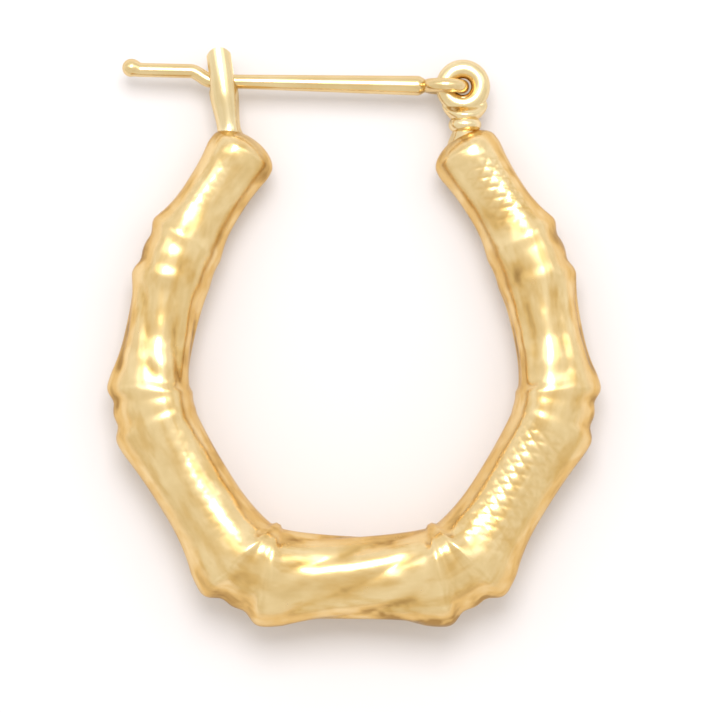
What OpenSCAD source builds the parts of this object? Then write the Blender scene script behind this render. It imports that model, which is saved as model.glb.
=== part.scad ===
// Bamboo hoop earring with a hinged ear wire, lying on its side.
// Millimetres. The hoop is drawn in the XY plane with the middle of its lowest segment at the origin
// and its open end towards +Y, then laid down: the thick bottom and the two thin ends both touch z = 0.

/* [Segments] */
// Radius of the bottom segment at its waist
bottom_waist_r = 2.2; // [2.15:0.01:2.35]
// Radius of the diagonal segments at their waist
diagonal_waist_r = 2.03; // [1.9:0.01:2.1]
// Radius of the upright segments at their waist
upright_waist_r = 1.84; // [1.76:0.01:1.92]
// Radius of the end segments at their waist
end_waist_r = 1.66; // [1.55:0.01:1.75]
// How late a segment flares out from its waist to its rims
flare_power = 2.4; // [1.6:0.1:3.5]

/* [Tube ends] */
// Distance of a tube end's rim from the middle plane
end_x = 6.01; // [5.8:0.02:6.2]
// Height of a tube end's rim above the bottom segment
end_y = 22.12; // [21.9:0.02:22.4]
// Radius of the rim round a tube end
end_rim_r = 1.9; // [1.75:0.01:1.95]
// Height of the domed cap on a tube end
cap_h = 1.18; // [0.9:0.02:1.3]

/* [Catch] */
// Radius of the slotted catch post
catch_r = 0.77; // [0.72:0.01:0.8]
// Lean of the post away from the middle of the hoop, in degrees
catch_lean = 8; // [4:0.1:10]
// Width of the slot that holds the ear wire
slot_w = 0.86; // [0.84:0.01:0.94]
// Depth of the slot under the wire's middle line
slot_depth = 0.5; // [0.46:0.01:0.56]
// Height of the post's tip above the wire's middle line
catch_tip = 1.75; // [1.5:0.05:1.9]

/* [Hinge] */
// Distance of the hinge ring's middle from the middle plane
ring_x = 5.74; // [5.6:0.02:5.9]
// Height of the hinge ring's middle above the bottom segment
ring_y = 25.84; // [25.8:0.02:26]
// Radius of the hinge ring, to the middle of its wire
ring_r = 0.93; // [0.92:0.01:1]
// Radius of the wire that the hinge ring is made of
ring_wire_r = 0.4; // [0.34:0.01:0.41]

/* [Ear wire] */
// Radius of the ear wire where it passes the catch
wire_r = 0.37; // [0.34:0.01:0.38]
// Radius of the ear wire beside the hinge
wire_root_r = 0.52; // [0.42:0.01:0.55]
// Radius of the eye round the hinge ring, to the middle of its wire
eye_r = 0.9; // [0.86:0.01:0.92]
// Radius of the wire that the eye is made of
eye_wire_r = 0.37; // [0.34:0.01:0.38]
// How far the ear wire rises towards its free end, in degrees
wire_slope = 1.3; // [1:0.1:1.8]
// Rise of the jog that snaps behind the catch
jog_rise = 0.5; // [0.4:0.02:0.56]
// Length of the jog along the wire
jog_run = 0.9; // [0.85:0.05:1.1]
// Radius of the rounded tip
tip_r = 0.48; // [0.42:0.01:0.5]

/* [Hidden] */

GOLD = [0.90, 0.69, 0.32];
SIDES = 28;
ROUND = 64;

// The knuckles from the bottom of the hoop up one side. Each is the corner of the tube's middle line
// and the radius it is rounded to, then the tube's radius at the two rims, in the grooves between them
// and at the bead in the middle, and the distance from the bead to each rim.
CORNER_X = 0;
CORNER_Y = 1;
BEND_R = 2;
RIM_R = 3;
GROOVE_R = 4;
BEAD_R = 5;
RIM_GAP = 6;
KNUCKLES = [
    [5.53, 0.00, 3.2, 2.75, 2.10, 2.24, 0.90],
    [11.00, 8.84, 4.2, 2.28, 1.84, 2.00, 0.95],
    [9.42, 16.79, 5.8, 2.10, 1.76, 1.87, 1.16]
];
WAIST_R = [bottom_waist_r, diagonal_waist_r, upright_waist_r, end_waist_r];
LAST = len(KNUCKLES);

// Half of the bead and of the flat of a groove, as shares of the distance from bead to rim
BEAD_SHARE = 0.28;
GROOVE_SHARE = 0.42;
KNUCKLE_STEPS = [0, 0.16, 0.28, 0.42, 0.62, 0.82, 1];
// The grooves run full depth round the outside and the top and fade out towards the inside of the hoop,
// by the cosine of the angle from the outside: FADE_END is where they end, FADE_LEN how long they fade
FADE_END = -0.9;
FADE_LEN = 1;
SEGMENT_STEPS = 8;
CAP_STEPS = 7;

// The corners of the middle line, with its start at the bottom and its end at the cap
CORNERS = concat([[0, 0]], [for (k = KNUCKLES) [k[CORNER_X], k[CORNER_Y]]], [[end_x, end_y]]);
function heading(i) = atan2(CORNERS[i + 1].y - CORNERS[i].y, CORNERS[i + 1].x - CORNERS[i].x);
function inner_corner(i) = i > 0 && i <= LAST;
function turn(i) = inner_corner(i) ? heading(i) - heading(i - 1) : 0;
function tangent(i) = inner_corner(i) ? KNUCKLES[i - 1][BEND_R] * tan(turn(i) / 2) : 0;
function arc_len(i) = inner_corner(i) ? KNUCKLES[i - 1][BEND_R] * turn(i) * PI / 180 : 0;
function line_len(i) = norm(CORNERS[i + 1] - CORNERS[i]) - tangent(i) - tangent(i + 1);
function along(angle) = [cos(angle), sin(angle)];

// The point of the middle line at a length s from the bottom of the hoop, and its heading there
function line_point(i, s) = CORNERS[i] + (tangent(i) + s) * along(heading(i));
function bend_point(i, angle) =
    line_point(i - 1, line_len(i - 1))
    + KNUCKLES[i - 1][BEND_R] * (along(heading(i - 1) + 90) - along(heading(i - 1) + angle + 90));
function route(s, i = 0) =
    s <= line_len(i) || i == LAST ? [line_point(i, s), heading(i)]
    : s <= line_len(i) + arc_len(i + 1) ? route_bend(i + 1, (s - line_len(i)) / arc_len(i + 1))
    : route(s - line_len(i) - arc_len(i + 1), i + 1);
function route_bend(i, share) = [bend_point(i, share * turn(i)), heading(i - 1) + share * turn(i)];

// The length from the bottom of the hoop to the middle of a knuckle, or to the tube's end
function knuckle_s(i) = i == 0 ? 0 : knuckle_s(i - 1) + arc_len(i - 1) / 2 + line_len(i - 1) + arc_len(i) / 2;

// The tube's radius across a knuckle, where t is 0 at the bead and 1 at a rim
function knuckle_r(k, t) =
    t < BEAD_SHARE ? k[GROOVE_R] + (k[BEAD_R] - k[GROOVE_R]) * sqrt(1 - pow(t / BEAD_SHARE, 2))
    : t < GROOVE_SHARE ? k[GROOVE_R]
    : k[GROOVE_R] + (k[RIM_R] - k[GROOVE_R]) * sin(90 * (t - GROOVE_SHARE) / (1 - GROOVE_SHARE));

// The tube's radius along a segment, where t runs from -1 at its first rim to 1 at its second
function segment_r(waist, first, second, t) = waist + ((t < 0 ? first : second) - waist) * pow(abs(t), flare_power);

// How much of a groove's depth is left at an angle round the tube, from 0 outside the hoop
function groove_share(a) = let (t = min(max((cos(a) - FADE_END) / FADE_LEN, 0), 1)) t * t * (3 - 2 * t);

// Stations of the swept tube up one side of the hoop, as [length along the middle line, radius outside
// the hoop, radius inside the hoop]
function knuckle_stations(i) = [
    for (side = [-1, 1], n = [0 : len(KNUCKLE_STEPS) - 1])
        let (step = KNUCKLE_STEPS[side < 0 ? len(KNUCKLE_STEPS) - 1 - n : n])
        if (side < 0 || step > 0)
            [
                knuckle_s(i) + side * step * KNUCKLES[i - 1][RIM_GAP],
                knuckle_r(KNUCKLES[i - 1], step),
                KNUCKLES[i - 1][RIM_R]
            ]
];
function segment_stations(i) =
    let (
        start = i == 0 ? -segment_end(0) : knuckle_s(i) + KNUCKLES[i - 1][RIM_GAP],
        first = i == 0 ? KNUCKLES[0][RIM_R] : KNUCKLES[i - 1][RIM_R],
        second = i == LAST ? end_rim_r : KNUCKLES[i][RIM_R]
    )
    [
        for (n = [(i == 0 ? SEGMENT_STEPS / 2 : 1) : SEGMENT_STEPS - 1])
            let (t = 2 * n / SEGMENT_STEPS - 1, r = segment_r(WAIST_R[i], first, second, t))
            [start + (segment_end(i) - start) * (t + 1) / 2, r, r]
    ];
function segment_end(i) = i == LAST ? knuckle_s(LAST + 1) : knuckle_s(i + 1) - KNUCKLES[i][RIM_GAP];
function cap_stations() = [
    for (n = [0 : CAP_STEPS - 1])
        let (a = 90 * n / CAP_STEPS, r = end_rim_r * cos(a))
        [knuckle_s(LAST + 1) + cap_h * sin(a), r, r]
];
SIDE_STATIONS = concat(
    segment_stations(0),
    [for (i = [1 : LAST], station = concat(knuckle_stations(i), segment_stations(i))) station],
    cap_stations()
);

// A ring of points round the middle line, on the right side of the hoop (1) or mirrored on the left (-1)
function ring(station, side) =
    let (place = route(station[0]), out = along(place[1] - 90))
    [
        for (n = [0 : SIDES - 1])
            let (
                a = 360 * n / SIDES,
                r = station[2] + (station[1] - station[2]) * groove_share(a),
                p = place[0] + r * cos(a) * out
            )
            [side * p.x, p.y, r * sin(a)]
    ];
function pole(side) = let (p = line_point(LAST, line_len(LAST) + cap_h)) [side * p.x, p.y, 0];

module tube() {
    rings = concat(
        [for (n = [len(SIDE_STATIONS) - 1 : -1 : 1]) ring(SIDE_STATIONS[n], -1)],
        [for (station = SIDE_STATIONS) ring(station, 1)]
    );
    count = len(rings);
    walls = [
        for (m = [0 : count - 2], n = [0 : SIDES - 1])
            let (a = m * SIDES + n, b = m * SIDES + (n + 1) % SIDES)
            [b, b + SIDES, a + SIDES, a]
    ];
    left_cap = [for (n = [0 : SIDES - 1]) [count * SIDES, (n + 1) % SIDES, n]];
    right_cap = [
        for (n = [0 : SIDES - 1])
            let (last = (count - 1) * SIDES)
            [count * SIDES + 1, last + n, last + (n + 1) % SIDES]
    ];
    points = concat([for (r = rings, p = r) p], [pole(-1), pole(1)]);
    polyhedron(points, concat(walls, left_cap, right_cap));
}

// The slotted post, with the wire's middle line at its origin and its arched tip towards +Y
CATCH_SHOULDER = 0.85;
CATCH_FOOT = 3.4;
FILLET_R = 1.08;
FILLET_H = 0.95;
ARCH_STEPS = 12;
module catch_arch() {
    half = catch_r + 0.02;
    rise = catch_tip - CATCH_SHOULDER;
    polygon(concat(
        [[-half, -CATCH_FOOT], [half, -CATCH_FOOT]],
        [
            for (n = [0 : ARCH_STEPS])
                let (a = 180 * n / ARCH_STEPS)
                [half * cos(a), CATCH_SHOULDER + rise * sin(a)]
        ]
    ));
}
module catch_post() {
    slot_floor = slot_w / 2 - slot_depth;
    // The solder round its foot
    rotate([-90, 0, 0])
        translate([0, 0, -CATCH_FOOT])
            cylinder(h = FILLET_H, r1 = FILLET_R, r2 = catch_r - 0.01, $fn = ROUND);
    difference() {
        intersection() {
            rotate([-90, 0, 0])
                translate([0, 0, -CATCH_FOOT])
                    cylinder(h = CATCH_FOOT + 2 * catch_tip, r = catch_r, $fn = ROUND);
            translate([0, 0, -2 * catch_r])
                linear_extrude(height = 4 * catch_r)
                    catch_arch();
        }
        translate([-2 * catch_r, slot_floor, -slot_w / 2])
            cube([4 * catch_r, slot_depth + 2 * catch_tip, slot_w]);
        translate([-2 * catch_r, slot_floor, 0])
            rotate([0, 90, 0])
                cylinder(h = 4 * catch_r, r = slot_w / 2, $fn = ROUND);
    }
}

// The neck that carries the hinge ring, below the ring's middle: a bowl on a bead on a foot in the cap
NECK_X = 0.1;
BOWL_TOP = 0.95;
BOWL_R = 1.22;
BOWL_DEPTH = 1.3;
BOWL_END = 42;
NECK_BEAD = 2.07;
NECK_BEAD_R = 0.8;
NECK_BEAD_H = 0.2;
NECK_GROOVE = 2.42;
NECK_GROOVE_R = 0.62;
NECK_FOOT = 3.1;
NECK_FOOT_R = 0.85;
NECK_STEPS = 6;
module hinge_neck() {
    bowl = [
        for (n = [0 : NECK_STEPS])
            let (a = BOWL_END * n / NECK_STEPS)
            [BOWL_R * cos(a), -BOWL_TOP - BOWL_DEPTH * sin(a)]
    ];
    bead = [
        for (n = [0 : NECK_STEPS])
            let (a = 60 - 120 * n / NECK_STEPS)
            [NECK_BEAD_R - NECK_BEAD_H * (1 - cos(a)), -NECK_BEAD + NECK_BEAD_H * sin(a)]
    ];
    foot = [[NECK_GROOVE_R, -NECK_GROOVE], [NECK_FOOT_R, -NECK_FOOT], [0, -NECK_FOOT]];
    rotate([-90, 0, 0])
        rotate_extrude($fn = ROUND)
            polygon(concat([[0, -BOWL_TOP]], bowl, bead, foot));
}

module hinge_ring() {
    rotate_extrude($fn = ROUND)
        translate([ring_r, 0])
            circle(r = ring_wire_r, $fn = ROUND);
}

// Where the wire's middle line crosses the catch post
CATCH_REACH = 12.69;
catch_x = ring_x - CATCH_REACH * cos(wire_slope);
catch_y = ring_y + CATCH_REACH * sin(wire_slope);

module hoop() {
    color(GOLD)
        lay() {
            tube();
            translate([catch_x, catch_y, 0])
                rotate([0, 0, catch_lean])
                    catch_post();
            translate([ring_x, ring_y, 0]) {
                hinge_ring();
                translate([NECK_X, 0, 0])
                    hinge_neck();
            }
        }
}

// The wire, with the hinge ring's middle at its origin and its free end towards -X
ROOT_LEN = 0.55;
TAPER_END = 12;
JOG_START = 13.35;
TIP_CENTRE = 17.5;
TIP_RISE = 0.1;
// Radius of the wire where it is rounded at the two corners of the jog
JOG_CORNER_R = wire_r + 0.03;
module eye() {
    translate([-ring_r, 0, 0])
        rotate([90, 0, 0])
            rotate_extrude($fn = ROUND)
                translate([eye_r, 0])
                    circle(r = eye_wire_r, $fn = ROUND);
}
// The shank from the eye to the jog, as half its outline
module shank() {
    start = ring_r + eye_r;
    rotate([0, -90, 0])
        rotate_extrude($fn = ROUND)
            polygon([
                [0, start], [eye_wire_r * 0.8, start], [wire_root_r, start + ROOT_LEN],
                [wire_r, TAPER_END], [wire_r, JOG_START], [0, JOG_START]
            ]);
}
// A ball on the wire, with its poles on the wire's line
module wire_ball(r) {
    rotate([0, 90, 0])
        sphere(r = r, $fn = ROUND);
}
// A straight run of the wire from the origin, turned up from -X by an angle
module wire_run(length, angle) {
    rotate([0, -90, -angle])
        cylinder(h = length, r = wire_r, $fn = ROUND);
}
module ear_wire() {
    jog_end = JOG_START + jog_run;
    color(GOLD)
        lay()
            translate([ring_x, ring_y, 0])
                rotate([0, 0, -wire_slope]) {
                    eye();
                    shank();
                    translate([-JOG_START, 0, 0]) {
                        wire_ball(JOG_CORNER_R);
                        wire_run(norm([jog_run, jog_rise]), atan(jog_rise / jog_run));
                    }
                    translate([-jog_end, jog_rise, 0]) {
                        wire_ball(JOG_CORNER_R);
                        wire_run(TIP_CENTRE - jog_end, 0);
                    }
                    translate([-TIP_CENTRE, jog_rise + TIP_RISE, 0])
                        wire_ball(tip_r);
                }
}

// The hoop laid on its side: it tips until a lower and an upper knuckle both touch z = 0
function rim_place(i) = route(knuckle_s(i) + KNUCKLES[i - 1][RIM_GAP])[0];
foot = rim_place(1);
toe = rim_place(LAST);
foot_r = KNUCKLES[0][RIM_R];
toe_r = KNUCKLES[LAST - 1][RIM_R];
lie_tilt = atan((foot_r - toe_r) / (toe.y - foot.y));
lie_height = foot.y * sin(lie_tilt) + foot_r * cos(lie_tilt);
low_y = min([for (station = SIDE_STATIONS) let (p = route(station[0])) p[0].y - station[1] * cos(p[1])]);
high_y = catch_y + catch_tip * cos(catch_lean);
module lay() {
    translate([0, -(low_y + high_y) / 2, lie_height])
        rotate([-lie_tilt, 0, 0])
            children();
}

hoop();
ear_wire();
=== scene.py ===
"""Bamboo hoop earring in polished yellow gold, lying on a white surface and seen from straight above."""

import math
from collections import namedtuple

import bmesh
import bpy
import numpy as np
from mathutils import Matrix, Vector


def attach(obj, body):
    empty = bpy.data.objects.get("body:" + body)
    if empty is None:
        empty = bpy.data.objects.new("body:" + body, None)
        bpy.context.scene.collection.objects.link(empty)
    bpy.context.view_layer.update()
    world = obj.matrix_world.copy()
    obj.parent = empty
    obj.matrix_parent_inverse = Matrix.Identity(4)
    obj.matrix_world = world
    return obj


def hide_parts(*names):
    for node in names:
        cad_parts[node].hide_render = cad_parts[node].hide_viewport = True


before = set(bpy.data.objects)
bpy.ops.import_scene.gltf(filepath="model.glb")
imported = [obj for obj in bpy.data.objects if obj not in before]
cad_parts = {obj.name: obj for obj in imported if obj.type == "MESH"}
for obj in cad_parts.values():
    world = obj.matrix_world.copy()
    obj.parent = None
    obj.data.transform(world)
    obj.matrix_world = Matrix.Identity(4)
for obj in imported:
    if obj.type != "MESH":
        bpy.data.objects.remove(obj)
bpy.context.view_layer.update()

MM = 0.001

# The sizes of the part in millimetres, in the plane of the hoop: x to the right, and y up the
# photograph from the middle of the lowest segment. A knuckle is a bead between two grooves and two
# rims, on a bend of the tube, and half_len is from its middle to a rim.
Knuckle = namedtuple("Knuckle", "x y bend_r rim_r groove_r bead_r half_len")
KNUCKLES = (
    Knuckle(5.53, 0.00, 3.2, 2.75, 2.10, 2.24, 0.90),
    Knuckle(11.00, 8.84, 4.2, 2.28, 1.84, 2.00, 0.95),
    Knuckle(9.42, 16.79, 5.8, 2.10, 1.76, 1.87, 1.16),
)
# The radius at the middle of each segment, from the bottom up
WAISTS = (2.20, 2.03, 1.84, 1.66)
# A segment flares from its middle by this power of the way to its rims
FLARE_POWER = 2.4
TUBE_END = (6.01, 22.12)
END_RIM_R = 1.90
CAP_H = 1.18

# The hinge ring, whose band is a little broader than it is thick
RING_CENTRE = (5.74, 25.84)
RING_R = 0.93
RING_BAND = 0.50
RING_WIRE_R = 0.40

# The neck under the ring, measured from the middle of the ring. Its foot has rows of half width and y,
# its bead is drawn in steps of degrees from an angle on, and its cup widens and flattens up to the
# ring and narrows again over its last steps. Its top has half width, y, and thickness as a share.
NECK_X = 0.1
NECK_FOOT = ((0.98, -3.3), (0.88, -2.9), (0.76, -2.62), (0.68, -2.45))
NECK_BEAD = (0.46, -2.02)
NECK_BEAD_R = 0.40
NECK_BEAD_FROM = -62
NECK_BEAD_STEP = 10
NECK_BEAD_ROWS = 12
CUP_STEPS = 19
CUP_WIDEST = 12
CUP_NARROWS = 11
CUP_Y = -1.66
CUP_H = 1.11
CUP_R = 0.80
CUP_WIDER = 0.40
CUP_NARROWER = 0.14
# The thickness of the cup as a share of its width, at its foot and how much less at the ring
CUP_THICK = 0.95
CUP_FLATTER = 0.67
NECK_TOP = (0.95, -0.52, 0.26)

# The ear wire, along its length from the middle of the hinge ring: the eye, the thick root, the
# taper, the jog up to the line of the free end, and the round tip
WIRE_SLOPE = math.radians(1.3)
EYE_R = 0.9
EYE_WIRE_R = 0.37
ROOT_START = RING_R + EYE_R
ROOT_LEN = 0.55
WIRE_ROOT_R = 0.52
WIRE_R = 0.37
# The wire where it leaves the eye, as a share of the eye's own
PINCH = 0.8
TAPER_END = 12.0
JOG_START = 13.35
JOG_RUN = 0.9
JOG_RISE = 0.5
# How far the bends of the jog reach past it
JOG_EASE = 0.12
TIP_CENTRE = 17.5
TIP_RISE = 0.1
TIP_R = 0.48
# The length over which the wire swells to its tip
TIP_EASE = 0.5

# The catch post on the line of the ear wire: a stem on a flared foot, and a head that is cut to a
# round arch and slotted for the wire. Its heights are from the middle of the wire.
CATCH_REACH = 12.69
CATCH_AT = (
    RING_CENTRE[0] - CATCH_REACH * math.cos(WIRE_SLOPE),
    RING_CENTRE[1] + CATCH_REACH * math.sin(WIRE_SLOPE),
)
CATCH_LEAN = math.radians(8)
CATCH_R = 0.77
CATCH_TIP = 1.75
CATCH_SHOULDER = 0.85
CATCH_FOOT = 3.4
SLOT_W = 0.86
SLOT_DEPTH = 0.5
FILLET_R = 1.08
FILLET_H = 0.95
STEM_R = 0.61
# The height at which the stem has widened to the head
STEM_TOP = -0.6
EDGE_R = 0.07


# The middle line of one side of the tube: straight stretches, with a bend at each knuckle
CORNERS = [np.array(p) for p in ((0.0, 0.0), *((k.x, k.y) for k in KNUCKLES), TUBE_END)]
LAST = len(KNUCKLES)
# A quarter of a turn
QUARTER = math.pi / 2


def along(angle):
    return np.array((math.cos(angle), math.sin(angle)))


def heading(i):
    d = CORNERS[i + 1] - CORNERS[i]
    return math.atan2(d[1], d[0])


def turn(i):
    return heading(i) - heading(i - 1) if 0 < i <= LAST else 0.0


def bend_r(i):
    return KNUCKLES[i - 1].bend_r if 0 < i <= LAST else 0.0


def tangent(i):
    return bend_r(i) * math.tan(turn(i) / 2)


def arc_len(i):
    return bend_r(i) * turn(i)


def line_len(i):
    return float(np.linalg.norm(CORNERS[i + 1] - CORNERS[i])) - tangent(i) - tangent(i + 1)


def route(s):
    """The point of the middle line at a length s from the bottom of the hoop, and its heading there."""
    for i in range(LAST + 1):
        start = CORNERS[i] + tangent(i) * along(heading(i))
        if s <= line_len(i) or i == LAST:
            return start + s * along(heading(i)), heading(i)
        s -= line_len(i)
        if s <= arc_len(i + 1):
            h0, r = heading(i), bend_r(i + 1)
            h = h0 + s / r
            return start + line_len(i) * along(h0) + r * (along(h0 + QUARTER) - along(h + QUARTER)), h
        s -= arc_len(i + 1)


# The lengths along it of the bottom of the hoop, the middle of each knuckle, and the end
KNOTS = [0.0]
for i in range(1, LAST + 2):
    KNOTS.append(KNOTS[-1] + arc_len(i - 1) / 2 + line_len(i - 1) + arc_len(i) / 2)
TUBE_LEN = KNOTS[-1]


def upper_rim(i):
    return route(KNOTS[i] + KNUCKLES[i - 1].half_len)[0]


# The hoop is tipped until the rims of its lowest and highest knuckles touch the surface, and moved
# until the middle of its height is over the origin
FOOT_R = KNUCKLES[0].rim_r
FOOT_Y = upper_rim(1)[1]
LIE_TILT = math.atan((FOOT_R - KNUCKLES[-1].rim_r) / (upper_rim(LAST)[1] - FOOT_Y))
LIE_HEIGHT = FOOT_Y * math.sin(LIE_TILT) + FOOT_R * math.cos(LIE_TILT)
SHIFT_Y = -12.6318
LAY = (
    Matrix.Diagonal((MM, MM, MM, 1))
    @ Matrix.Translation((0, SHIFT_Y, LIE_HEIGHT))
    @ Matrix.Rotation(-LIE_TILT, 4, "X")
)
RING_PLACE = Matrix.Translation((*RING_CENTRE, 0))


# The radius of the tube. A knuckle's bead and groove end at these shares of its half length.
BEAD_SHARE = 0.40
GROOVE_SHARE = 0.52
# How far polishing has rounded every edge along the tube, and the shares of that at which the radius
# is averaged, with their weights
SOFTEN = 0.27
SOFT_STEPS = ((-1.0, 1), (-0.5, 4), (0.0, 6), (0.5, 4), (1.0, 1))
# How much more at the rim of a cap, and the share of the cap's height at which it has run out
CAP_SOFTEN = 0.35
CAP_SOFT_END = 0.7
# The crest of the tube lies towards the inside of the hoop: length along the tube, and how far as a
# share of the radius
CREST = (
    (0.0, 0.08),
    (5.4, 0.28),
    (10.0, 0.12),
    (15.5, 0.28),
    (19.4, 0.0),
    (23.5, -0.10),
    (26.7, -0.32),
    (31.2, -0.10),
)
# A segment with its number from the bottom, the lengths of its ends and the radius of its rims
Segment = namedtuple("Segment", "i start end first_r last_r")


def smooth(x):
    x = np.clip(x, 0.0, 1.0)
    return x * x * (3 - 2 * x)


def crest(s):
    for (s0, c0), (s1, c1) in zip(CREST, CREST[1:]):
        if s <= s1:
            return c0 + (c1 - c0) * float(smooth((s - s0) / (s1 - s0)))
    return CREST[-1][1]


def knuckle_r(k, t):
    """A knuckle's radius on the outside of the hoop, at a share t of the way from its middle to a rim."""
    if t < BEAD_SHARE:
        return k.groove_r + (k.bead_r - k.groove_r) * math.sqrt(1 - (t / BEAD_SHARE) ** 2)
    if t < GROOVE_SHARE:
        return k.groove_r
    return k.groove_r + (k.rim_r - k.groove_r) * math.sin(QUARTER * (t - GROOVE_SHARE) / (1 - GROOVE_SHARE))


def segment_of(s):
    """The segment at a length s, or None at a knuckle and on a cap."""
    for i in range(LAST + 1):
        below = KNUCKLES[max(i - 1, 0)]
        start = KNOTS[i] + below.half_len if i else -(KNOTS[1] - below.half_len)
        end = KNOTS[i + 1] - KNUCKLES[i].half_len if i < LAST else TUBE_LEN
        if start <= s <= end:
            return Segment(i, start, end, below.rim_r, KNUCKLES[i].rim_r if i < LAST else END_RIM_R)
    return None


def plain_r(s):
    """The radius at a length s on the outside of the hoop, and on the inside, where no groove is cut."""
    if s > TUBE_LEN:
        rise = min((s - TUBE_LEN) / CAP_H, 1.0)
        r = END_RIM_R * math.sqrt(1 - rise * rise)
        return np.array((r, r))
    seg = segment_of(abs(s))
    if seg:
        t = 2 * (abs(s) - seg.start) / (seg.end - seg.start) - 1
        waist = WAISTS[seg.i]
        r = waist + ((seg.first_r if t < 0 else seg.last_r) - waist) * abs(t) ** FLARE_POWER
        return np.array((r, r))
    for k, middle in zip(KNUCKLES, KNOTS[1:]):
        if abs(abs(s) - middle) <= k.half_len:
            return np.array((knuckle_r(k, abs(abs(s) - middle) / k.half_len), k.rim_r))


def soft_r(s):
    reach = SOFTEN + CAP_SOFTEN * float(smooth(1 - abs(s - TUBE_LEN) / CAP_H))
    reach *= float(smooth(1 - (s - TUBE_LEN) / (CAP_SOFT_END * CAP_H)))
    total = sum(weight for _, weight in SOFT_STEPS)
    return sum(weight * plain_r(s + step * reach) for step, weight in SOFT_STEPS) / total


# The points round the tube: their angles are from the outside of the hoop, up over the face
SIDES = 128
ANGLES = np.arange(SIDES) * 2 * math.pi / SIDES
COS, SIN = np.cos(ANGLES), np.sin(ANGLES)

# The grooves are deepest on the outside of the hoop, shallower on its face, at each knuckle by its
# own share, and run out on the inside
FACE_SHARES = (0.27, 0.14, 0.13)
OUTSIDE_FROM = 0.35
OUTSIDE_LEN = 0.65
FADE_END = -0.7
FADE_LEN = 0.85
OUTSIDE = smooth((COS - OUTSIDE_FROM) / OUTSIDE_LEN)
GROOVED = smooth((COS - FADE_END) / FADE_LEN)

# The face of the third segment swells a little: how high, and the place and half the length of the
# swelling, where the segment is from -1 to 1
SWELL_SEGMENT = 2
SWELL = 0.15
SWELL_AT = -0.45
SWELL_HALF = 0.45

# The hatch is fine cuts that cross on the face of the second and the fourth segment: how far apart
# they are along the tube, and how many of each direction there are round it
HATCHED = (1, 3)
HATCH_PITCH = 0.64
HATCH_TURNS = 10
HATCH_DEPTH = 0.035
# The cuts get painted shade, a darker tone where shade falls in them
HATCH_SHADE = 0.35
# The left side has been polished more, so its hatch is fainter
HATCH_LEFT = 0.22
# Half the width of a cut, as a share of the pitch
HATCH_CUT = 0.28
# The lengths over which the hatch comes in and runs out along its segment
HATCH_IN = 1.9
HATCH_OUT = 1.1
# The height over the hoop's plane, in radii, at which the hatch comes in, and over which it does so,
# on the inner half of the tube and on the outer half
HATCH_INNER_FROM = 0.78
HATCH_INNER_LEN = 0.14
HATCH_OUTER_FROM = 0.62
HATCH_OUTER_LEN = 0.28

# The leaves on the other segments are long rounded lobes with a sharp valley between each two
LEAF_COUNT = 7
LEAF_DEPTH = 0.10
# The valleys get painted shade, a darker tone where shade falls in them
LEAF_SHADE = 0.9
# How much the painted shade keeps to the bottom of the valleys, and how round that bottom is
LEAF_SHADE_POWER = 1.5
VALLEY = 0.22
# The angle of the first valley, how much it winds round the left side for each millimetre of it, and
# the length over which the leaves run out at each end
LEAF_FIRST = math.radians(16)
LEAF_LEAN = 0.12
LEAF_END = 1.2
# The same on the lowest segment, where the leaves wind on both sides
LOW_LEAF_FIRST = math.radians(22)
LOW_LEAF_LEAN = 0.19
LOW_LEAF_END = 2.0

# Painted dark reflections, darker marks on the gold: side of the hoop, length along the tube and half the
# length of the mark, degrees round the tube and half the width, strength. The left side is -1.
PAINTED_DARK_REFLECTIONS = (
    (-1, 10.2, 1.3, 158, 20, 1.8),
    (-1, 12.2, 1.5, 166, 16, 1.2),
    (-1, 23.1, 1.5, 114, 24, 1.0),
    (-1, 30.0, 1.3, 150, 30, 1.0),
    (1, 2.0, 1.4, 18, 22, 7.0),
    (1, 4.1, 1.5, 16, 18, 2.4),
    (1, 22.7, 1.6, 120, 24, 1.2),
    (1, 26.2, 1.5, 116, 26, 1.2),
    (1, 31.2, 1.3, 140, 40, 1.0),
)
# Painted shade in a groove: how strong it is for each millimetre of its depth, and at most
GROOVE_SHADE = 3.0
GROOVE_SHADE_MOST = 0.8
# Painted shade on the sides of the tube, which face along the hoop's plane: a deeper tone that darkens the
# reflection there
SIDE_SHADE = 0.7
SIDE_SHADE_FROM = 0.55
SIDE_SHADE_LEN = 0.30
# The polishing streaks run along the tube, so their pattern is squeezed by this in that direction
STREAK_SQUEEZE = 0.28

# The steps between the rows of points: near a knuckle or a cap, on a hatch, and elsewhere
NEAR_STEP = 0.06
HATCH_STEP = 0.09
PLAIN_STEP = 0.11
# What is near, and the number of steps up a cap
NEAR_KNUCKLE = 1.35
NEAR_CAP = 0.25
CAP_STEPS = 20


def groove_share(s):
    """The share of its depth that a groove has at each angle, by the nearest knuckle."""
    nearest = int(np.argmin([abs(s - k) for k in KNOTS[1:-1]]))
    on_face = FACE_SHARES[nearest]
    return GROOVED * (on_face + (1 - on_face) * OUTSIDE)


def swell(s):
    """How far the face rises over the plain tube at a length s, for each angle."""
    seg = segment_of(s)
    if not seg or seg.i != SWELL_SEGMENT:
        return np.zeros(SIDES)
    t = 2 * (s - seg.start) / (seg.end - seg.start) - 1
    return SWELL * float(smooth(1 - abs(t - SWELL_AT) / SWELL_HALF)) * smooth(SIN)


def cut(phase):
    """A round-bottomed cut across a phase of 0, as a depth from 0 to 1."""
    off = np.abs(np.angle(np.exp(1j * phase))) / (2 * math.pi * HATCH_CUT)
    return np.where(off < 1, 0.5 + 0.5 * np.cos(math.pi * np.minimum(off, 1)), 0)


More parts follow.
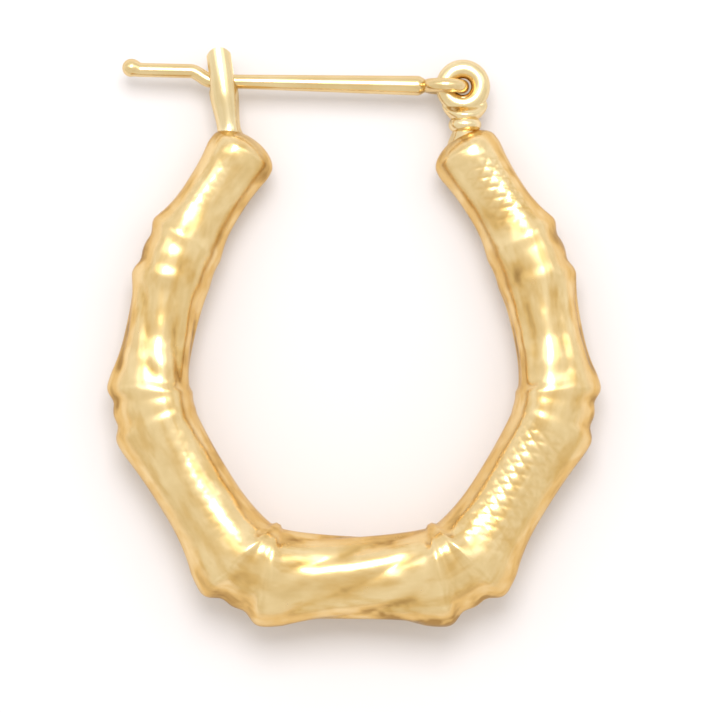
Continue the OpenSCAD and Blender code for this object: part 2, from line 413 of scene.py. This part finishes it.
def hatch(seg, s, side):
    """How deep the hatch is at a length s, from 0 to 1, for each angle."""
    fade = float(smooth((s - seg.start) / HATCH_IN) * smooth((seg.end - s) / HATCH_OUT))
    inner = COS < 0
    start = np.where(inner, HATCH_INNER_FROM, HATCH_OUTER_FROM)
    face = smooth((np.abs(SIN) - start) / np.where(inner, HATCH_INNER_LEN, HATCH_OUTER_LEN))
    phase = 2 * math.pi * (s - (seg.start + seg.end) / 2) / HATCH_PITCH
    rising = cut(phase + HATCH_TURNS * ANGLES)
    falling = cut(phase - HATCH_TURNS * ANGLES)
    worn = HATCH_LEFT if side < 0 else 1.0
    return worn * fade * face * np.maximum(rising, falling)


def leaves(seg, s, side):
    """How near each angle is to a valley between two leaves at a length s, from 0 to 1, and how much of
    their depth the leaves have there."""
    first, lean, end_len = LEAF_FIRST, LEAF_LEAN if side < 0 else 0.0, LEAF_END
    if seg.i == 0:
        first, lean, end_len = LOW_LEAF_FIRST, LOW_LEAF_LEAN, LOW_LEAF_END
    x = side * (s - (seg.start + seg.end) / 2)
    across = np.sin(LEAF_COUNT * (ANGLES - first - lean * x) / 2)
    lobe = (np.sqrt(across**2 + VALLEY**2) - VALLEY) / (math.sqrt(1 + VALLEY**2) - VALLEY)
    return 1 - lobe, float(smooth(((seg.end - seg.start) / 2 - abs(x)) / end_len))


def relief(s, side):
    """How deep the cuts are at a length s, for each angle, and how much painted shade they get."""
    seg = segment_of(s)
    if not seg:
        return np.zeros(SIDES), np.zeros(SIDES)
    if seg.i in HATCHED:
        crossed = hatch(seg, s, side)
        return HATCH_DEPTH * crossed, HATCH_SHADE * crossed
    valley, fade = leaves(seg, s, side)
    return LEAF_DEPTH * fade * valley, LEAF_SHADE * fade * valley**LEAF_SHADE_POWER


# The strength of the painted dark reflections at a length s, for each angle
def painted_dark_reflections(s, side):
    found = np.zeros(SIDES)
    for mark_side, at, half_len, round_at, half_width, strength in PAINTED_DARK_REFLECTIONS:
        if side == mark_side and abs(s - at) < half_len:
            across = smooth(1 - np.abs(np.degrees(ANGLES) - round_at) / half_width)
            found += strength * float(smooth(1 - abs(s - at) / half_len)) * across
    return found


def stations():
    """The lengths at which the tube is drawn, from the bottom of the hoop to the top of a cap."""
    s, found = 0.0, []
    while s < TUBE_LEN:
        found.append(s)
        seg = segment_of(s)
        near = min(abs(s - k) for k in KNOTS[1:-1]) < NEAR_KNUCKLE or TUBE_LEN - s < NEAR_CAP
        s += NEAR_STEP if near else HATCH_STEP if seg and seg.i in HATCHED else PLAIN_STEP
    found.append(TUBE_LEN)
    return found + [TUBE_LEN + CAP_H * math.sin(QUARTER * n / CAP_STEPS) for n in range(1, CAP_STEPS)]


def tube_row(side, s):
    """The points round the tube at a length s, how much painted shade each gets, and its place along the
    streaks.
    """
    centre, h = route(min(s, TUBE_LEN))
    centre = centre + max(s - TUBE_LEN, 0) * along(h)
    out = along(h - QUARTER)
    outer_r, inner_r = soft_r(s)
    share = groove_share(s)
    cuts, cut_shade = relief(s, side)
    r = inner_r + (outer_r - inner_r) * share - cuts + swell(s)
    lean = crest(min(s, TUBE_LEN))
    lateral = r * COS - lean * inner_r * (1 - np.abs(COS))
    row = np.stack([side * (centre[0] + lateral * out[0]), centre[1] + lateral * out[1], r * SIN], axis=1)
    # Painted shade on the sides of the tube, by how far each point faces along the hoop's plane
    steep = np.hypot(COS, SIN * (1 + lean * np.sign(COS)))
    side_shade = SIDE_SHADE * smooth((np.abs(COS) / steep - SIDE_SHADE_FROM) / SIDE_SHADE_LEN)
    # Painted shade in the grooves, by their depth
    groove = np.minimum(GROOVE_SHADE * (inner_r - outer_r) * share, GROOVE_SHADE_MOST)
    # All the painted shade and painted dark reflections of each point, for its material
    painted_shade = groove + cut_shade + side_shade + painted_dark_reflections(s, side)
    way = np.stack([np.full(SIDES, side * s * STREAK_SQUEEZE), r * COS, r * SIN], axis=1)
    return row, painted_shade, way


# Meshes and pieces
def turn_outward(mesh):
    bm = bmesh.new()
    bm.from_mesh(mesh)
    bmesh.ops.recalc_face_normals(bm, faces=bm.faces)
    bm.to_mesh(mesh)
    bm.free()


def mesh_of(name, verts, faces):
    mesh = bpy.data.meshes.new(name)
    mesh.from_pydata([tuple(v) for v in verts], [], faces)
    turn_outward(mesh)
    return mesh


def finish_piece(name, mesh, place, body, replaced, sharp=None):
    """A piece of the model from a mesh in millimetres. Edges over sharp degrees stay sharp."""
    mesh.name = name
    mesh.transform(place)
    turn_outward(mesh)
    for p in mesh.polygons:
        p.use_smooth = True
    if sharp:
        mesh.set_sharp_from_angle(angle=math.radians(sharp))
    obj = bpy.data.objects.new(name, mesh)
    bpy.context.scene.collection.objects.link(obj)
    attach(obj, body)
    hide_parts(replaced)
    return obj


def store(mesh, name, values):
    """Keep a number or a row of three numbers at each point of a mesh, for its material."""
    values = np.asarray(values, dtype=np.float32)
    kind, field = ("FLOAT", "value") if values.ndim == 1 else ("FLOAT_VECTOR", "vector")
    layer = mesh.attributes.new(name, kind, "POINT")
    layer.data.foreach_set(field, values.ravel())


def sleeve(rows, sides):
    """The faces that join rows of points round a shape, each row to the next."""
    faces = []
    for m in range(rows - 1):
        for n in range(sides):
            a, b = m * sides + n, m * sides + (n + 1) % sides
            faces.append((a, b, b + sides, a + sides))
    return faces


def closed_sleeve(rows, sides):
    last = (rows - 1) * sides
    return sleeve(rows, sides) + [tuple(range(sides)), tuple(reversed(range(last, last + sides)))]


def lathe(profile, place=Matrix.Identity(4), sides=72):
    """A closed turned shape about the local +Y axis. The profile is half width, y, and thickness as a
    share of the width, from foot to top."""
    verts = []
    for r, y, share in profile:
        for n in range(sides):
            a = 2 * math.pi * n / sides
            verts.append(place @ Vector((r * math.cos(a), y, share * r * math.sin(a))))
    return verts, closed_sleeve(len(profile), sides)


def torus(big, wide, high, place, rounds=96, sides=32):
    """A ring in the local XY plane; wide and high are half the width and the thickness of its band."""
    verts, faces = [], []
    for m in range(rounds):
        t = 2 * math.pi * m / rounds
        for n in range(sides):
            a = 2 * math.pi * n / sides
            r = big + wide * math.cos(a)
            verts.append(place @ Vector((r * math.cos(t), r * math.sin(t), high * math.sin(a))))
            m1, n1 = (m + 1) % rounds, (n + 1) % sides
            faces.append((m * sides + n, m1 * sides + n, m1 * sides + n1, m * sides + n1))
    return verts, faces


def prism(outline, z0, z1):
    count = len(outline)
    verts = [(x, y, z0) for x, y in outline] + [(x, y, z1) for x, y in outline]
    faces = [(n, (n + 1) % count, count + (n + 1) % count, count + n) for n in range(count)]
    faces += [tuple(range(count)), tuple(range(count, 2 * count))]
    return verts, faces


# The rounding of an edge: how many faces it has, and the least angle of an edge that gets one
EDGE_FACES = 3
EDGE_ANGLE = math.radians(40)


def solved(name, base, steps, edge=0.0):
    """A mesh in millimetres after exact unions and cuts, with its edges rounded."""
    obj = bpy.data.objects.new(name, base)
    bpy.context.scene.collection.objects.link(obj)
    others = []
    for operation, mesh in steps:
        other = bpy.data.objects.new(name + "_tool", mesh)
        bpy.context.scene.collection.objects.link(other)
        others.append(other)
        m = obj.modifiers.new("step", "BOOLEAN")
        m.operation, m.object, m.solver = operation, other, "EXACT"
    if edge:
        bevel = obj.modifiers.new("edges", "BEVEL")
        bevel.width, bevel.segments, bevel.limit_method = edge, EDGE_FACES, "ANGLE"
        bevel.angle_limit = EDGE_ANGLE
    graph = bpy.context.evaluated_depsgraph_get()
    mesh = bpy.data.meshes.new_from_object(obj.evaluated_get(graph))
    for o in [obj] + others:
        bpy.data.objects.remove(o)
    return mesh


def build_tube():
    up = stations()
    signed = [(-1, s) for s in reversed(up[1:])] + [(1, s) for s in up]
    rows, painted_shades, ways = zip(*[tube_row(side, s) for side, s in signed])
    tip, h = route(TUBE_LEN)
    tip = tip + CAP_H * along(h)
    verts = np.concatenate([*rows, [(-tip[0], tip[1], 0), (tip[0], tip[1], 0)]])
    faces = sleeve(len(rows), SIDES)
    left, right, last = len(verts) - 2, len(verts) - 1, (len(rows) - 1) * SIDES
    for n in range(SIDES):
        faces.append((left, (n + 1) % SIDES, n))
        faces.append((right, last + n, last + (n + 1) % SIDES))
    mesh = mesh_of("bamboo_tube", verts, faces)
    store(mesh, "painted_shade", np.concatenate([*painted_shades, np.zeros(2)]))
    store(mesh, "way", np.concatenate([*ways, np.zeros((2, 3))]))
    return finish_piece("bamboo_tube", mesh, LAY, "hoop_body", "hoop")


# Painted shade in the hole of the ring: how strong it is, how far inside the middle of the band it
# begins, and over what length it comes in
HOLE_SHADE = 1.1
HOLE_FROM = 0.1
HOLE_LEN = 0.3


def build_ring():
    verts, faces = torus(RING_R, RING_BAND, RING_WIRE_R, RING_PLACE)
    mesh = mesh_of("hinge_ring", verts, faces)
    # Painted shade in the hole of the ring, stronger towards its middle
    inside = [RING_R - HOLE_FROM - math.dist(v.co[:2], RING_CENTRE) for v in mesh.vertices]
    store(mesh, "painted_shade", [HOLE_SHADE * float(smooth(d / HOLE_LEN)) for d in inside])
    return finish_piece("hinge_ring", mesh, LAY, "hoop_body", "hoop")


def neck_profile():
    profile = [(half, y, 1) for half, y in NECK_FOOT]
    bead_half, bead_y = NECK_BEAD
    for n in range(NECK_BEAD_ROWS):
        a = math.radians(NECK_BEAD_FROM + NECK_BEAD_STEP * n)
        profile.append((bead_half + NECK_BEAD_R * math.cos(a), bead_y + NECK_BEAD_R * math.sin(a), 1))
    for n in range(CUP_STEPS + 1):
        narrowed = float(smooth((n - CUP_NARROWS) / (CUP_STEPS - CUP_NARROWS)))
        widened = math.sin(QUARTER * min(n / CUP_WIDEST, 1))
        half = CUP_R + CUP_WIDER * widened - CUP_NARROWER * narrowed
        thickness = CUP_THICK - CUP_FLATTER * float(smooth(n / CUP_WIDEST))
        profile.append((half, CUP_Y + CUP_H * n / CUP_STEPS, thickness))
    return profile + [NECK_TOP]


def build_neck():
    mesh = mesh_of("hinge_neck", *lathe(neck_profile(), RING_PLACE @ Matrix.Translation((NECK_X, 0, 0))))
    return finish_piece("hinge_neck", mesh, LAY, "hoop_body", "hoop", sharp=60)


# The post is cut by an arch and a slot, which are this long to each side of it. The arch clears its
# sides, and leaves the stem and the foot whole between two heights. The slot is open up to a height.
CUT_REACH = 2
ARCH_CLEAR = 0.02
WHOLE_FROM = -CATCH_FOOT - 1
WHOLE_TO = -1
SLOT_OPEN = 4
# The steps of the curves, and the points round the post
ARC_STEPS = 24
FILLET_STEPS = 8
STEM_STEPS = 10
POST_SIDES = 96


def arc(half, y, high, start):
    """Half an ellipse about a middle at height y, from an angle on."""
    angles = [start + math.pi * n / ARC_STEPS for n in range(ARC_STEPS + 1)]
    return [(half * math.cos(a), y + high * math.sin(a)) for a in angles]


def post_profile():
    top = -CATCH_FOOT + FILLET_H
    profile = []
    for n in range(FILLET_STEPS + 1):
        half = STEM_R + (FILLET_R - STEM_R) * (1 - n / FILLET_STEPS) ** 2
        profile.append((half, -CATCH_FOOT + FILLET_H * n / FILLET_STEPS, 1))
    for n in range(1, STEM_STEPS + 1):
        half = STEM_R + (CATCH_R - STEM_R) * float(smooth(n / STEM_STEPS))
        profile.append((half, top + (STEM_TOP - top) * n / STEM_STEPS, 1))
    return profile + [(CATCH_R, 2 * CATCH_TIP, 1)]


def build_catch():
    post = mesh_of("post", *lathe(post_profile(), sides=POST_SIDES))
    half, wide = CATCH_R + ARCH_CLEAR, 2 * CATCH_R
    left = [(-half, WHOLE_TO), (-wide, WHOLE_TO), (-wide, WHOLE_FROM)]
    arch = left + [(-x, y) for x, y in reversed(left)]
    arch += arc(half, CATCH_SHOULDER, CATCH_TIP - CATCH_SHOULDER, 0)
    arch_mesh = mesh_of("arch", *prism(arch, -CUT_REACH, CUT_REACH))
    slot_half = SLOT_W / 2
    slot = [(slot_half, SLOT_OPEN), (-slot_half, SLOT_OPEN)]
    slot += arc(slot_half, slot_half - SLOT_DEPTH, slot_half, math.pi)
    verts, faces = prism(slot, -CUT_REACH, CUT_REACH)
    slot_mesh = mesh_of("slot", [(z, y, x) for x, y, z in verts], faces)
    mesh = solved("catch_post", post, [("INTERSECT", arch_mesh), ("DIFFERENCE", slot_mesh)], edge=EDGE_R)
    place = LAY @ Matrix.Translation((*CATCH_AT, 0)) @ Matrix.Rotation(CATCH_LEAN, 4, "Z")
    return finish_piece("catch_post", mesh, place, "hoop_body", "hoop", sharp=35)


def wire_at(d):
    """Rise and radius of the wire at a distance d from the middle of the hinge ring."""
    tip_share = float(smooth((d - TIP_CENTRE + TIP_EASE) / TIP_EASE))
    rise = JOG_RISE * float(smooth((d - JOG_START + JOG_EASE) / (JOG_RUN + 2 * JOG_EASE)))
    rise += TIP_RISE * tip_share
    if d < ROOT_START + ROOT_LEN:
        pinch = EYE_WIRE_R * PINCH
        return rise, pinch + (WIRE_ROOT_R - pinch) * float(smooth((d - ROOT_START) / ROOT_LEN))
    if d < TAPER_END:
        taper = (d - ROOT_START - ROOT_LEN) / (TAPER_END - ROOT_START - ROOT_LEN)
        return rise, WIRE_ROOT_R + (WIRE_R - WIRE_ROOT_R) * taper
    if d > TIP_CENTRE:
        return rise, TIP_R * math.sqrt(max(1 - ((d - TIP_CENTRE) / TIP_R) ** 2, 0.0))
    return rise, WIRE_R + (TIP_R - WIRE_R) * tip_share


# The rows of points along the wire, in stretches with a start, an end and a step
FINE_STEP = 0.05
NEAR_JOG = 0.3
WIRE_STRETCHES = (
    (ROOT_START - FINE_STEP, ROOT_START + ROOT_LEN, FINE_STEP),
    (ROOT_START + ROOT_LEN, JOG_START - NEAR_JOG, 0.4),
    (JOG_START - NEAR_JOG, JOG_START + JOG_RUN + NEAR_JOG, FINE_STEP),
    (JOG_START + JOG_RUN + NEAR_JOG, TIP_CENTRE - TIP_EASE - FINE_STEP, 0.3),
    (TIP_CENTRE - TIP_EASE, TIP_CENTRE, FINE_STEP),
)
# The steps over the tip, the last row as a share of its radius, and the points round the wire
TIP_STEPS = 12
TIP_LAST = 0.999
WIRE_SIDES = 40
# How far to each side the slope of the wire is measured
SLOPE_STEP = 0.01


def build_wire():
    ds = np.concatenate([np.arange(*stretch) for stretch in WIRE_STRETCHES]).tolist()
    ds += [TIP_CENTRE + TIP_R * math.sin(QUARTER * n / TIP_STEPS) for n in range(TIP_STEPS)]
    ds.append(TIP_CENTRE + TIP_R * TIP_LAST)
    verts = []
    for d in ds:
        rise, r = wire_at(d)
        slope = (wire_at(d + SLOPE_STEP)[0] - wire_at(d - SLOPE_STEP)[0]) / (2 * SLOPE_STEP)
        across, up = Vector((slope, 1, 0)).normalized(), Vector((0, 0, 1))
        for n in range(WIRE_SIDES):
            a = 2 * math.pi * n / WIRE_SIDES
            verts.append(Vector((-d, rise, 0)) + r * (math.cos(a) * across + math.sin(a) * up))
    shank = mesh_of("shank", verts, closed_sleeve(len(ds), WIRE_SIDES))
    eye_place = Matrix.Translation((-RING_R, 0, 0)) @ Matrix.Rotation(QUARTER, 4, "X")
    eye = mesh_of("eye", *torus(EYE_R, EYE_WIRE_R, EYE_WIRE_R, eye_place, rounds=72))
    mesh = solved("ear_wire_bent", shank, [("UNION", eye)])
    place = LAY @ RING_PLACE @ Matrix.Rotation(-WIRE_SLOPE, 4, "Z")
    return finish_piece("ear_wire_bent", mesh, place, "wire_body", "ear_wire", sharp=50)


# Steps of a material or of the light. Each gives an output for the next.
def noise(tree, vector, scale, detail):
    node = tree.nodes.new("ShaderNodeTexNoise")
    node.inputs["Scale"].default_value = scale
    node.inputs["Detail"].default_value = detail
    tree.links.new(vector, node.inputs["Vector"])
    return node.outputs["Fac"]


def attribute(tree, name, output):
    node = tree.nodes.new("ShaderNodeAttribute")
    node.attribute_name = name
    return node.outputs[output]


def map_range(tree, value, span=(0.0, 1.0), result=(0.0, 1.0), interpolation="SMOOTHSTEP"):
    node = tree.nodes.new("ShaderNodeMapRange")
    node.interpolation_type = interpolation
    node.inputs["From Min"].default_value = span[0]
    node.inputs["From Max"].default_value = span[1]
    node.inputs["To Min"].default_value = result[0]
    node.inputs["To Max"].default_value = result[1]
    tree.links.new(value, node.inputs["Value"])
    return node.outputs["Result"]


def combine(tree, operation, a, b):
    node = tree.nodes.new("ShaderNodeMath")
    node.operation = operation
    tree.links.new(a, node.inputs[0])
    tree.links.new(b, node.inputs[1])
    return node.outputs["Value"]


def colour_ramp(tree, value, span, colours):
    """From the first colour at the start of the span to the second at its end."""
    node = tree.nodes.new("ShaderNodeValToRGB")
    for element, at, colour in zip(node.color_ramp.elements, span, colours):
        element.position = at
        element.color = (*colour, 1)
    tree.links.new(value, node.inputs["Fac"])
    return node.outputs["Color"]


def turned_to(tree, colour, tone, share):
    """The colour, turned towards a tone by a share from 0 to 1."""
    node = tree.nodes.new("ShaderNodeMix")
    node.data_type = "RGBA"
    node.inputs["B"].default_value = (*tone, 1)
    tree.links.new(share, node.inputs["Factor"])
    tree.links.new(colour, node.inputs["A"])
    return node.outputs["Result"]


def bump(tree, height, strength, distance, normal=None):
    node = tree.nodes.new("ShaderNodeBump")
    node.inputs["Strength"].default_value = strength
    node.inputs["Distance"].default_value = distance
    tree.links.new(height, node.inputs["Height"])
    if normal:
        tree.links.new(normal, node.inputs["Normal"])
    return node.outputs["Normal"]


# Polished gold. A pattern of it has a scale and a detail, and some have the span that is used and the
# levels that it becomes. Its tone varies between two shares of its colour.
TONE_NOISE = (420.0, 3.0)
TONE_SPAN = (0.3, 0.7)
DULL = (0.93, 0.88, 0.78)
BRIGHT = 1.04
EDGE_TINT = (0.85, 0.76, 0.62)
# The polish varies between two shares of the roughness, and has fine marks, whose height is in metres
POLISH_NOISE = (900.0, 4.0)
POLISH_SHARES = (0.75, 1.3)
MARK_STRENGTH = 0.12
MARK_HEIGHT = 0.00003
# The thin metal is a little wavy under them
WAVE_NOISE = (500.0, 1.0)
WAVE_STRENGTH = 1.0
# The painted shade comes in patches, and a brown tone is added to it in streaks along the tube
PATCH_NOISE = (700.0, 2.0)
PATCH_SPAN = (0.36, 0.64)
PATCH_LEVELS = (0.3, 1.25)
STREAK_NOISE = (1.5, 3.0)
STREAK_SPAN = (0.42, 0.72)
STREAK_LEVELS = (0.0, 0.75)
# How much painted shade and streak tone there is where the deep tone comes in and is reached, and then the
# darkest tone
DEEP_SPAN = (0.0, 1.0)
DARKEST_SPAN = (1.0, 2.2)


def gold(name, base, deep, darkest, roughness, wave_height):
    mat = bpy.data.materials.new(name)
    mat.use_nodes = True
    tree = mat.node_tree
    bsdf = tree.nodes["Principled BSDF"]
    bsdf.inputs["Metallic"].default_value = 1.0
    bsdf.inputs["Specular Tint"].default_value = (*EDGE_TINT, 1)
    place = tree.nodes.new("ShaderNodeTexCoord").outputs["Object"]
    dull = [c * share for c, share in zip(base, DULL)]
    bright = [min(1.0, c * BRIGHT) for c in base]
    colour = colour_ramp(tree, noise(tree, place, *TONE_NOISE), TONE_SPAN, (dull, bright))
    patches = map_range(tree, noise(tree, place, *PATCH_NOISE), PATCH_SPAN, PATCH_LEVELS)
    # The painted shade and painted dark reflections that the mesh carries, in patches
    painted_shades = combine(tree, "MULTIPLY", attribute(tree, "painted_shade", "Fac"), patches)
    veins = noise(tree, attribute(tree, "way", "Vector"), *STREAK_NOISE)
    brown = combine(tree, "ADD", painted_shades, map_range(tree, veins, STREAK_SPAN, STREAK_LEVELS))
    for span, tone in ((DEEP_SPAN, deep), (DARKEST_SPAN, darkest)):
        share = map_range(tree, brown, span, interpolation="LINEAR")
        colour = turned_to(tree, colour, tone, share)
    tree.links.new(colour, bsdf.inputs["Base Color"])
    polish = noise(tree, place, *POLISH_NOISE)
    levels = [roughness * share for share in POLISH_SHARES]
    tree.links.new(map_range(tree, polish, result=levels, interpolation="LINEAR"), bsdf.inputs["Roughness"])
    wavy = bump(tree, noise(tree, place, *WAVE_NOISE), WAVE_STRENGTH, wave_height)
    marked = bump(tree, polish, MARK_STRENGTH, MARK_HEIGHT, wavy)
    tree.links.new(marked, bsdf.inputs["Normal"])
    return mat


# The golds: base, deep and darkest tone, roughness, and the height of the waves in metres. The catch
# and the hinge are of a paler gold than the tube.
# The deep and darkest tones are what the painted shade, the painted dark reflections and the brown streaks
# turn the gold to
HOOP_GOLD = ((0.885, 0.705, 0.40), (0.745, 0.50, 0.19), (0.40, 0.235, 0.075), 0.24, 0.00015)
PALE_GOLD = ((0.87, 0.735, 0.46), (0.76, 0.54, 0.24), (0.46, 0.29, 0.11), 0.22, 0.00001)
WIRE_GOLD = ((0.83, 0.67, 0.39), (0.70, 0.48, 0.18), (0.40, 0.235, 0.075), 0.22, 0.00001)


def paint(obj, mat):
    obj.data.materials.clear()
    obj.data.materials.append(mat)


# The stage: a white surface, a soft key light from the top of the photograph, and a pale tent
FLOOR_HALF = 0.6
FLOOR_COLOUR = (0.80, 0.775, 0.80)
FLOOR_ROUGHNESS = 0.8


def build_stage():
    half = FLOOR_HALF
    mesh = bpy.data.meshes.new("floor")
    corners = [(-half, -half, 0), (half, -half, 0), (half, half, 0), (-half, half, 0)]
    mesh.from_pydata(corners, [], [(0, 1, 2, 3)])
    floor = bpy.data.objects.new("floor", mesh)
    bpy.context.scene.collection.objects.link(floor)
    mat = bpy.data.materials.new("white_surface")
    mat.use_nodes = True
    bsdf = mat.node_tree.nodes["Principled BSDF"]
    bsdf.inputs["Base Color"].default_value = (*FLOOR_COLOUR, 1)
    bsdf.inputs["Roughness"].default_value = FLOOR_ROUGHNESS
    mesh.materials.append(mat)


# The key is a row of three panels, a wide one between two narrow ones. Each has its name, its
# direction from the earring, its width and height in metres, and its power in watts.
PANELS = (
    ("key", (0.0, 0.41, 0.912), 0.14, 0.14, 0.46),
    ("key_side", (-0.50, 0.38, 0.80), 0.075, 0.14, 0.035),
    ("key_side", (0.50, 0.38, 0.80), 0.075, 0.14, 0.035),
)
PANEL_DISTANCE = 0.3
# The tent is brighter towards the top of the photograph, uneven as cloth is, and warmer where it is
# dimmer. Each has the span over which it changes and what it becomes.
SWEEP_SPAN = (-0.25, 0.30)
SWEEP_LEVELS = (0.91, 1.01)
FOLD_NOISE = (2.6, 2.0)
FOLD_SPAN = (0.35, 0.65)
FOLD_LEVELS = (0.90, 1.05)
TENT_SPAN = (0.78, 1.0)
TENT_COLOURS = ((1.0, 0.91, 0.73), (1.0, 1.0, 1.0))


def panel(name, direction, width, height, power):
    data = bpy.data.lights.new(name, "AREA")
    data.shape, data.size, data.size_y = "RECTANGLE", width, height
    data.energy = power
    obj = bpy.data.objects.new(name, data)
    bpy.context.scene.collection.objects.link(obj)
    d = Vector(direction).normalized()
    obj.location = d * PANEL_DISTANCE
    obj.rotation_euler = (-d).to_track_quat("-Z", "Y").to_euler()


def build_light():
    world = bpy.data.worlds.new("tent")
    bpy.context.scene.world = world
    world.use_nodes = True
    tree = world.node_tree
    background = tree.nodes["Background"]
    direction = tree.nodes.new("ShaderNodeTexCoord").outputs["Generated"]
    parts = tree.nodes.new("ShaderNodeSeparateXYZ")
    tree.links.new(direction, parts.inputs["Vector"])
    sweep = map_range(tree, parts.outputs["Y"], SWEEP_SPAN, SWEEP_LEVELS)
    folds = map_range(tree, noise(tree, direction, *FOLD_NOISE), FOLD_SPAN, FOLD_LEVELS)
    level = combine(tree, "MULTIPLY", sweep, folds)
    colour = colour_ramp(tree, level, TENT_SPAN, TENT_COLOURS)
    tree.links.new(colour, background.inputs["Color"])
    tree.links.new(level, background.inputs["Strength"])
    for row in PANELS:
        panel(*row)


# The camera looks straight down. The photograph is square, and its middle is here in the hoop's plane.
PHOTO_PX = 712
PX_PER_MM = 19.0
PHOTO_MIDDLE = (0.105, 11.63)
CAMERA_DISTANCE = 0.3
CAMERA_RANGE = (0.005, 5)
SENSOR_W = 36


def build_camera():
    data = bpy.data.cameras.new("camera")
    data.sensor_width = SENSOR_W
    data.lens = SENSOR_W * CAMERA_DISTANCE / (PHOTO_PX / PX_PER_MM * MM)
    data.clip_start, data.clip_end = CAMERA_RANGE
    cam = bpy.data.objects.new("camera", data)
    bpy.context.scene.collection.objects.link(cam)
    bpy.context.scene.camera = cam
    middle = LAY @ Vector((*PHOTO_MIDDLE, 0))
    cam.location = (middle.x, middle.y, middle.z + CAMERA_DISTANCE)


hoop_gold = gold("hoop_gold", *HOOP_GOLD)
pale_gold = gold("pale_gold", *PALE_GOLD)
wire_gold = gold("wire_gold", *WIRE_GOLD)
paint(build_tube(), hoop_gold)
for piece in (build_ring(), build_neck(), build_catch()):
    paint(piece, pale_gold)
paint(build_wire(), wire_gold)
build_stage()
build_light()
build_camera()
bpy.context.scene.view_settings.view_transform = "Standard"
